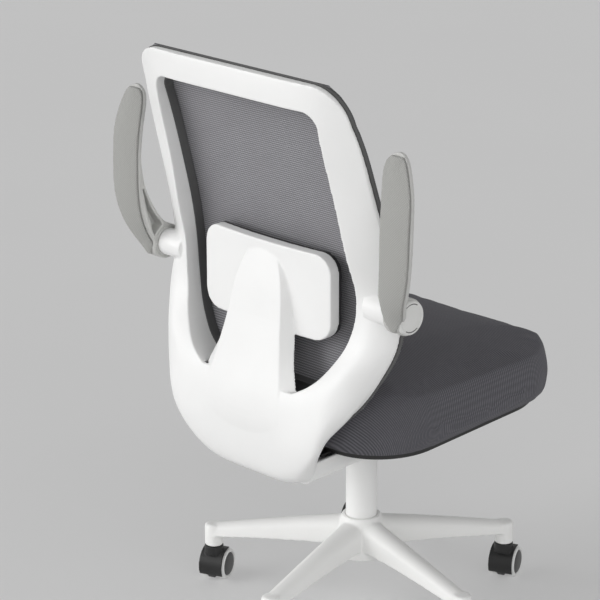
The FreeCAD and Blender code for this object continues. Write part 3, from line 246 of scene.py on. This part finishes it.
def diamond_weave(name, dark, light):
    """Two slanted thread families whose product leaves small raised diamonds; the colour follows that relief,
    with painted shade in the hollows between them.
    """
    material, tree, shader, place = blank_finish(name)
    rising = bands(tree, turned_place(tree, place, 45.0, 1), "X", 0.0026)
    falling = bands(tree, turned_place(tree, place, -45.0, 1), "X", 0.0026)
    weave = joined(tree, rising, falling, "MULTIPLY")
    patches = spread(tree, noise(tree, place, 30.0), 0.85, 1.1)
    tone = joined(tree, weave, patches, "MULTIPLY")
    # Painted shade: the hollows between the diamonds are darkened along with the bump.
    link(tree, ramp(tree, tone, 0.0, 0.8, dark, light), shader.inputs["Base Color"])
    shader.inputs["Roughness"].default_value = 0.8
    shader.inputs["Specular IOR Level"].default_value = 0.3
    shader.inputs["Sheen Weight"].default_value = 0.1
    relief(tree, shader, weave, 0.0002)
    return material


seat_cloth = ribbed_cloth(
    "seat_cloth", "Y", 0.0042, "X", 0.0016, 0.0, (0.072, 0.071, 0.080), (0.155, 0.152, 0.17), 0.0005, 0.05,
    "rib")
back_knit = ribbed_cloth(
    "back_knit", "Z", 0.0036, "X", 0.0030, 34.0, (0.165, 0.163, 0.175), (0.37, 0.367, 0.385), 0.0003, 0.1)
lumbar_cover = ribbed_cloth(
    "lumbar_cover", "Z", 0.0016, "X", 0.0016, 0.0, (0.014, 0.014, 0.015), (0.035, 0.035, 0.037), 0.0002, 0.1)
pad_cloth = diamond_weave("pad_cloth", grey(0.32, 0.04), grey(0.41, 0.04))
print("cloth finishes", len(bpy.data.materials))

# %% [markdown]
# Solids that already have the right shape only get their finish: the column, the ring, the mechanism
# under the seat and every pin, screw and bolt. Re-making them would add nothing that can be seen.

# %% Finishes on the solids
def dress(finish, *names):
    """Gives CAD nodes a finish in place of their plain one."""
    for name in names:
        node = frame["nodes"][name]
        node.data.materials.clear()
        node.data.materials.append(finish)


caster_names = ["caster_%d" % number for number in range(1, 6)]
dress(white_coat, "lift_tube")
dress(ring_dark, "mesh_ring")
# The seat pan takes the mechanism's black, which is partly the pan's own colour and partly painted shade
# standing for the shadow under the cushion's edge.
dress(frame_black, "tilt_housing", "tilt_plate", "seat_pan", "tension_knob", "lever_paddle", "guide_bush")
dress(steel, "thrust_bearing", "lift_rod", "retaining_clip", "lift_cylinder", "release_button", "pivot_pin")
dress(steel, "torsion_spring", "tension_screw", "lever_rod", "seat_screws", "back_bolts")
dress(steel, "left_arm_bolt", "right_arm_bolt")
dress(steel, *[name + part for name in caster_names for part in ("_stem", "_axle")])
print("dressed solids")

# %% [markdown]
# Tools for new pieces. A surface is a grid of points given as whole arrays: rows run along it,
# columns around it. A turned piece is a profile swung round an axis, which is such a grid too.

# %% Tools for grid pieces
def grid_piece(name, points, finish, wrap=False):
    """Mesh from an array of points, rows by columns by three; wrap joins the last column to the first."""
    rows, columns, _ = points.shape
    index = np.arange(rows * columns).reshape(rows, columns)
    right = np.roll(index, -1, axis=1) if wrap else index[:, 1:]
    left = index if wrap else index[:, :-1]
    faces = np.stack([left[:-1], right[:-1], right[1:], left[1:]], -1).reshape(-1, 4)
    mesh = bpy.data.meshes.new(name)
    mesh.from_pydata(points.reshape(-1, 3).tolist(), [], faces.tolist())
    mesh.polygons.foreach_set("use_smooth", np.ones(len(faces), dtype=bool))
    mesh.materials.append(finish)
    mesh.update()
    piece = bpy.data.objects.new(name, mesh)
    scene.collection.objects.link(piece)
    return piece


def swung(profile, centre, axis, angles):
    """Points of a profile of (radius, height) pairs swung round an axis through the given angles."""
    axis = Vector(axis).normalized()
    side = axis.orthogonal().normalized()
    across = axis.cross(side)
    radius, height = np.array(profile).T
    ring = np.outer(np.cos(angles), side) + np.outer(np.sin(angles), across)
    return np.array(centre) + radius[:, None, None] * ring[None] + height[:, None, None] * np.array(axis)


def lathe(name, profile, centre, axis, finish, turns=64):
    """Turned piece: a profile swung through a full circle, with its pole merged."""
    angles = np.linspace(0.0, 2.0 * math.pi, turns, endpoint=False)
    piece = grid_piece(name, swung(profile, centre, axis, angles), finish, wrap=True)
    merge_doubles(piece)
    return piece


def rounded(points, passes=2):
    """Profile whose corners are cut at a quarter of each side, twice, so that each becomes a small round."""
    for _ in range(passes):
        before, after = points[:-1], points[1:]
        cut = np.stack([0.75 * before + 0.25 * after, 0.25 * before + 0.75 * after], 1).reshape(-1, 2)
        points = np.vstack([points[:1], cut, points[-1:]])
    return points


# %% Tools for copies of solids
def use(piece):
    """Makes one object the active and only selected one."""
    bpy.ops.object.select_all(action="DESELECT")
    piece.hide_set(False)
    piece.select_set(True)
    bpy.context.view_layer.objects.active = piece


def merge_doubles(piece):
    """Merges points that lie on each other and turns all faces outwards."""
    use(piece)
    bpy.ops.object.mode_set(mode="EDIT")
    bpy.ops.mesh.select_all(action="SELECT")
    bpy.ops.mesh.remove_doubles(threshold=0.00001)
    bpy.ops.mesh.normals_make_consistent(inside=False)
    bpy.ops.object.mode_set(mode="OBJECT")


def copy_of(node, name):
    """Copy of a CAD node as an object of its own, with its loose triangles joined."""
    piece = bpy.data.objects.new(name, frame["nodes"][node].data.copy())
    scene.collection.objects.link(piece)
    piece.data.materials.clear()
    merge_doubles(piece)
    return piece


def apply_all(piece):
    """Turns every modifier of a piece into mesh and shades it smooth."""
    use(piece)
    for modifier in list(piece.modifiers):
        bpy.ops.object.modifier_apply(modifier=modifier.name)
    piece.data.polygons.foreach_set("use_smooth", np.ones(len(piece.data.polygons), dtype=bool))


def softened(node, name, finish, voxel, passes, keep=1.0):
    """Solid re-meshed in even cells and relaxed, which rounds each edge by about two cells; keep thins it."""
    piece = copy_of(node, name)
    cells = piece.modifiers.new("cells", "REMESH")
    cells.mode = "VOXEL"
    cells.voxel_size = voxel
    relax = piece.modifiers.new("relax", "SMOOTH")
    relax.factor = 0.5
    relax.iterations = passes
    if keep < 1.0:
        thin = piece.modifiers.new("thin", "DECIMATE")
        thin.ratio = keep
    apply_all(piece)
    piece.data.materials.append(finish)
    return piece


def seat_on(piece, body, slot, *nodes):
    """Lets a piece move with a body and stand for nodes; the slot is not used."""
    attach(piece, body)
    if nodes:
        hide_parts(*nodes)
    print(piece.name, len(piece.data.polygons), "faces on", body)


# %% [markdown]
# The white shell, the base, the arms and the caster hoods are mouldings: every edge has a small round.
# A bevel on a solid with hundreds of curved faces breaks at its thin ends, so a copy of the solid is
# re-meshed in fine even cells and relaxed a little. That rounds each edge and joins the faces into one skin.

# %% White mouldings
shell = softened("back_shell", "back_moulding", white_shell, voxel=0.0013, passes=8, keep=0.225)
seat_on(shell, "seat_back", "white_plastic", "back_shell")
base = softened("base_star", "base_moulding", white_base, voxel=0.0018, passes=10, keep=0.6)
seat_on(base, "base", "white_plastic", "base_star")

# %% Arm and caster mouldings
SIDES = {"left": 1.0, "right": -1.0}
for side in SIDES:
    arm = softened(side + "_arm_frame", side + "_arm_moulding", grey_arm, voxel=0.0010, passes=5, keep=0.7)
    seat_on(arm, side + "_arm", "grey_plastic", side + "_arm_frame")
for name in caster_names:
    hood = softened(name + "_hood", name + "_hood_moulding", caster_black, voxel=0.0009, passes=4)
    seat_on(hood, name, "caster_black", name + "_hood")

# %% [markdown]
# The arm's round cap is a domed button inside a raised rim, with a thin slit between them above and below.
# It is turned as one profile, and each slit is a short dark strip of a ring laid over the shallow groove:
# painted shade that stands for the depth of the gap.

# %% Arm caps
CAP_PROFILE = np.array([
    (0.0259, 0.0), (0.0259, 0.0034), (0.0250, 0.0056), (0.0236, 0.0064), (0.0222, 0.0060), (0.0212, 0.0052),
    (0.0200, 0.0056), (0.0160, 0.0068), (0.0100, 0.0077), (0.0050, 0.0080), (0.0, 0.0081)])
CAP_WALL_POINTS = 7
SLIT_OUTER, SLIT_INNER, SLIT_LIFT = 0.0218, 0.0204, 0.0002
SLIT_SPREAD = math.radians(34.0)
cap_line = rounded(CAP_PROFILE)
cap_top = cap_line[CAP_WALL_POINTS:][::-1]
slit_radii = np.linspace(SLIT_OUTER, SLIT_INNER, 4)
slit_line = np.stack([slit_radii, np.interp(slit_radii, *cap_top.T) + SLIT_LIFT], -1)
for side, way in SIDES.items():
    low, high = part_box(side + "_arm_cap")
    face = low.x if way > 0 else high.x
    centre = (face, (low.y + high.y) / 2.0, (low.z + high.z) / 2.0)
    outwards = Vector((way, 0, 0))
    cap = lathe(side + "_cap_disc", cap_line, centre, outwards, cap_grey, turns=96)
    seat_on(cap, side + "_arm", "grey_plastic", side + "_arm_cap")
    first = outwards.orthogonal().normalized()
    start = math.atan2(outwards.cross(first).z, first.z)
    for name, turn in (("upper", start), ("lower", start + math.pi)):
        angles = np.linspace(turn - SLIT_SPREAD, turn + SLIT_SPREAD, 25)
        strip = swung(slit_line, centre, outwards, angles)
        # Each strip is painted shade lying over the shallow groove, where the real slit is dark from its own
        # depth.
        slit = grid_piece(side + "_cap_slit_" + name, strip, slit_shade)
        seat_on(slit, side + "_arm", "black_plastic")

# %% [markdown]
# Caster wheels: a white tread with a rounded shoulder, and a dark domed cap set into its rim.
# Each wheel is turned about its own axle, whose place and direction its joint gives.

# %% Caster wheels
TREAD_PROFILE = np.array([
    (0.0032, 0.0064), (0.0215, 0.0064), (0.0244, 0.0072), (0.02495, 0.0095), (0.02495, 0.0190),
    (0.0240, 0.0218), (0.0222, 0.0226), (0.0204, 0.0224), (0.0196, 0.0210), (0.0192, 0.0200)])
HUBCAP_PROFILE = np.array([
    (0.0193, 0.0200), (0.0190, 0.0216), (0.0170, 0.0230), (0.0120, 0.0242), (0.0060, 0.0247), (0.0, 0.0248)])
for name in caster_names:
    for side, way in SIDES.items():
        joint = joints[name + "_" + side + "_roll"]
        wheel = name + "_" + side
        axis = Vector(joint["axis"]) * way
        tread = lathe(wheel + "_tread", rounded(TREAD_PROFILE), joint["pos_m"], axis, tread_white)
        seat_on(tread, wheel, "caster_tread", wheel + "_wheel")
        hubcap = lathe(wheel + "_hubcap", rounded(HUBCAP_PROFILE), joint["pos_m"], axis, hubcap_grey)
        seat_on(hubcap, wheel, "caster_tread")

# %% [markdown]
# Padded pieces are foam under a cover. Each could be shaped by hand, but a cloth simulation gives the
# swell of a stretched cover by itself: a slightly smaller copy of the solid is re-meshed and blown up.
# Its points may only travel a few millimetres, so the pad keeps its place; what rests on a plate stays flat.

# %% Tool for padding
PAD_PASSES, HELD_INSET = 3, 0.0003
COVER_PRESSURE, COVER_FRAMES = 4.0, 20


def point_rows(mesh, what="co"):
    """Places of a mesh's points, or their normals, as an array with one row for each point."""
    values = np.empty(len(mesh.vertices) * 3)
    mesh.vertices.foreach_get(what, values)
    return values.reshape(-1, 3)


def swollen(node, name, finish, voxel, shrink, travel, held):
    """Pad: the solid drawn in, inflated, each point's travel capped; points that held() picks stay."""
    piece = softened(node, name, finish, voxel, PAD_PASSES)
    mesh = piece.data
    normals = point_rows(mesh, "normal")
    fixed = held(normals)
    start = point_rows(mesh) - normals * np.where(fixed, HELD_INSET, shrink)[:, None]
    mesh.vertices.foreach_set("co", start.ravel())
    mesh.update()
    shift = inflated(piece, fixed) - start
    reach = np.linalg.norm(shift, axis=1)[:, None]
    shift = shift * np.minimum(1.0, travel / np.maximum(reach, 1e-9))
    mesh.vertices.foreach_set("co", (start + shift).ravel())
    mesh.update()
    finer = piece.modifiers.new("finer", "SUBSURF")
    finer.levels = 1
    finer.render_levels = 1
    apply_all(piece)
    return piece


def inflated(piece, fixed):
    """Points of a piece after some frames as cloth under pressure, with some of them pinned."""
    pins = piece.vertex_groups.new(name="held")
    pins.add(np.flatnonzero(fixed).tolist(), 1.0, "REPLACE")
    cloth = piece.modifiers.new("cloth", "CLOTH")
    cloth.settings.use_pressure = True
    cloth.settings.uniform_pressure_force = COVER_PRESSURE
    cloth.settings.vertex_group_mass = "held"
    cloth.settings.effector_weights.gravity = 0.0
    cloth.point_cache.frame_start = 1
    cloth.point_cache.frame_end = COVER_FRAMES
    for step in range(1, COVER_FRAMES + 1):
        scene.frame_set(step)
    blown = piece.evaluated_get(bpy.context.evaluated_depsgraph_get())
    moved = point_rows(blown.data)
    piece.modifiers.remove(cloth)
    piece.vertex_groups.clear()
    scene.frame_set(1)
    return moved


# %% [markdown]
# The seat is foam under ribbed cloth, flat where it rests on its pan.
# The cover is cut flat and pulled down over the rear and front edges, so there its ribs stay level:
# the distance along the cloth is y, plus or less a share of the drop below the crown near those edges.

# %% Seat cushion
RIB_PULL = 0.8
REAR_PULL, FRONT_PULL = (0.04, 0.17), (-0.19, -0.25)


def eased(values, span):
    """Share from 0 to 1 that eases in and out while the values go from one end of a span to the other."""
    share = np.clip((values - span[0]) / (span[1] - span[0]), 0.0, 1.0)
    return share * share * (3.0 - 2.0 * share)


def lay_ribs(piece):
    """Keeps the distance along the cloth on the points of a piece: y, plus or less a share of the drop."""
    _, y, z = point_rows(piece.data).T
    pull = RIB_PULL * (eased(y, REAR_PULL) - eased(y, FRONT_PULL))
    kept = piece.data.attributes.new("rib", "FLOAT", "POINT")
    kept.data.foreach_set("value", y + pull * (z.max() - z))


cushion = swollen(
    "seat_cushion", "seat_pad", seat_cloth, voxel=0.0056, shrink=0.003, travel=0.004,
    held=lambda normals: normals[:, 2] < -0.8)
lay_ribs(cushion)
seat_on(cushion, "seat_back", "seat_fabric", "seat_cushion")

# %% [markdown]
# The lumbar pad and the arm pads are glued to a plate, so the face on that plate is held.

# %% Lumbar and arm pads
lumbar = swollen(
    "lumbar_pad", "lumbar_cushion", lumbar_cover, voxel=0.004, shrink=0.002, travel=0.003,
    held=lambda normals: normals[:, 1] > 0.75)
seat_on(lumbar, "seat_back", "dark_fabric", "lumbar_pad")
for side in SIDES:
    pad = swollen(
        side + "_arm_pad", side + "_arm_cushion", pad_cloth, voxel=0.0016, shrink=0.0006, travel=0.0008,
        held=lambda normals: normals[:, 1] < -0.6)
    seat_on(pad, side + "_arm", "pad_grey", side + "_arm_pad")

# %% [markdown]
# The back's knit is one skin stretched over the ring, with no thickness worth showing.
# The solid sheet's front says how far back it lies at each height, and its rim how wide it is there.
# A grid between them is the cloth: each row is level, and its points share out the width evenly.

# %% Back knit
def faced_points(node, chosen):
    """Points of those faces of a CAD node that a test of the normal's y picks, as an array."""
    mesh = frame["nodes"][node].data
    used = sorted({point for face in mesh.polygons if chosen(face.normal.y) for point in face.vertices})
    return point_rows(mesh)[used]


KNIT_BANDS, KNIT_ROWS, KNIT_COLUMNS, KNIT_MARGIN = 120, 180, 121, 0.0004


def line_of(heights, values, pick):
    """One value for each of many equal height bands that hold points, with the bands' mean heights."""
    edges = np.linspace(heights.min(), heights.max(), KNIT_BANDS + 1)
    band = np.clip(np.digitize(heights, edges) - 1, 0, KNIT_BANDS - 1)
    used = np.unique(band)
    middles = np.array([heights[band == number].mean() for number in used])
    return middles, np.array([pick(values[band == number]) for number in used])


_, sheet_y, sheet_z = faced_points("back_mesh", lambda way: way < -0.5).T
rim_x, _, rim_z = faced_points("back_mesh", lambda way: abs(way) < 0.5).T
heights = np.linspace(sheet_z.min() + KNIT_MARGIN, sheet_z.max() - KNIT_MARGIN, KNIT_ROWS)
depth = np.interp(heights, *line_of(sheet_z, sheet_y, np.mean))
width = np.interp(heights, *line_of(rim_z, np.abs(rim_x), np.max)) - KNIT_MARGIN
share = np.linspace(-1.0, 1.0, KNIT_COLUMNS)
across = np.ones(KNIT_COLUMNS)
knit_grid = np.stack([np.outer(width, share), np.outer(depth, across), np.outer(heights, across)], -1)
knit = grid_piece("back_knit_sheet", knit_grid, back_knit)
seat_on(knit, "seat_back", "mesh_fabric", "back_mesh")

# %% [markdown]
# The camera stands behind the chair on the sitter's right and looks a little down through a long lens.
# Its place and lens were worked out from the column, the base and the seat in the photograph.

# %% Camera
CAMERA_PLACE = (-2.6937, 2.8396, 1.85416)
PITCH = 0.330637
HEADING = (0.70630, -0.70791)
SENSOR_WIDTH = 36.0
PICTURE_PIXELS, FOCAL_PIXELS = 600.0, 2642.62
camera_data = bpy.data.cameras.new("camera")
camera_data.lens = FOCAL_PIXELS / PICTURE_PIXELS * SENSOR_WIDTH
camera_data.sensor_width = SENSOR_WIDTH
camera = bpy.data.objects.new("camera", camera_data)
camera.location = CAMERA_PLACE
sight = Vector((HEADING[0] * math.cos(PITCH), HEADING[1] * math.cos(PITCH), -math.sin(PITCH)))
camera.rotation_euler = sight.to_track_quat("-Z", "Y").to_euler()
scene.collection.objects.link(camera)
scene.camera = camera

# %% [markdown]
# A pale seamless floor. Its paper is matt and almost even, so it takes the chair's soft shadow.

# %% Floor
def seen_rays(tree):
    """One where a ray comes from the camera, from a gloss or through glass, else zero."""
    paths = tree.nodes.new("ShaderNodeLightPath")
    seen = joined(tree, paths.outputs["Is Camera Ray"], paths.outputs["Is Glossy Ray"], "MAXIMUM")
    return joined(tree, seen, paths.outputs["Is Transmission Ray"], "MAXIMUM")


def matt_paper(name, level, glow, share):
    """Matt paper, faintly uneven; a share of what is seen of it is a steady glow, so that it looks even."""
    material, tree, shader, place = blank_finish(name)
    tone = ramp(tree, noise(tree, place, 1.5), 0.3, 0.7, grey(level), grey(1.02 * level))
    link(tree, tone, shader.inputs["Base Color"])
    shader.inputs["Roughness"].default_value = 0.9
    shader.inputs["Specular IOR Level"].default_value = 0.1
    even = tree.nodes.new("ShaderNodeEmission")
    even.inputs["Color"].default_value = (*grey(glow), 1.0)
    mixed = tree.nodes.new("ShaderNodeMixShader")
    link(tree, spread(tree, seen_rays(tree), 0.0, share), mixed.inputs["Fac"])
    link(tree, shader.outputs["BSDF"], mixed.inputs[1])
    link(tree, even.outputs["Emission"], mixed.inputs[2])
    link(tree, mixed.outputs["Shader"], tree.nodes["Material Output"].inputs["Surface"])
    return material


BACKDROP, FLOOR_REACH = 0.515, 30.0
span = np.linspace(-FLOOR_REACH, FLOOR_REACH, 3)
floor_x, floor_y = np.meshgrid(span, span)
floor_grid = np.stack([floor_x, floor_y, np.zeros_like(floor_x)], -1)
floor = grid_piece("floor", floor_grid, matt_paper("paper", level=0.85, glow=BACKDROP, share=0.5))
floor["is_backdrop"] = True

# %% [markdown]
# Soft studio light: a surround that is bright at the horizon and dim overhead, as between tall soft boxes,
# a broad key from the camera's left and a weaker fill from its right.
# Lamps that stand far off and have a wide disc light the floor evenly and still give soft shadows.

# %% Surround and lamps
HORIZON, ZENITH, LAMP_DISTANCE = 0.85, 0.15, 4.0
world = bpy.data.worlds.new("studio")
world.use_nodes = True
scene.world = world
tree = world.node_tree
sky = tree.nodes["Background"]
sky.inputs["Color"].default_value = (1.0, 1.0, 1.0, 1.0)
direction = tree.nodes.new("ShaderNodeTexCoord")
parts = tree.nodes.new("ShaderNodeSeparateXYZ")
link(tree, direction.outputs["Generated"], parts.inputs["Vector"])
link(tree, spread(tree, parts.outputs["Z"], HORIZON, ZENITH), sky.inputs["Strength"])
backdrop = tree.nodes.new("ShaderNodeBackground")
backdrop.inputs["Color"].default_value = (*grey(BACKDROP), 1.0)
choose = tree.nodes.new("ShaderNodeMixShader")
link(tree, seen_rays(tree), choose.inputs["Fac"])
link(tree, sky.outputs["Background"], choose.inputs[1])
link(tree, backdrop.outputs["Background"], choose.inputs[2])
link(tree, choose.outputs["Shader"], tree.nodes["World Output"].inputs["Surface"])


def far_lamp(name, bearing, elevation, disc, strength):
    """Distant soft lamp on a compass bearing and an elevation, both in degrees, with a disc that wide."""
    data = bpy.data.lights.new(name, "SUN")
    data.energy = strength
    data.angle = math.radians(disc)
    turn, rise = math.radians(bearing), math.radians(elevation)
    towards = Vector((math.cos(turn) * math.cos(rise), math.sin(turn) * math.cos(rise), math.sin(rise)))
    lamp = bpy.data.objects.new(name, data)
    lamp.location = LAMP_DISTANCE * towards
    lamp.rotation_euler = towards.to_track_quat("Z", "Y").to_euler()
    scene.collection.objects.link(lamp)


far_lamp("key", bearing=55.0, elevation=18.0, disc=50.0, strength=1.75)
far_lamp("fill", bearing=150.0, elevation=14.0, disc=70.0, strength=0.85)
print("lamps", [lamp.name for lamp in bpy.data.lights])

# %% Bounds of the shown pieces
low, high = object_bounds()
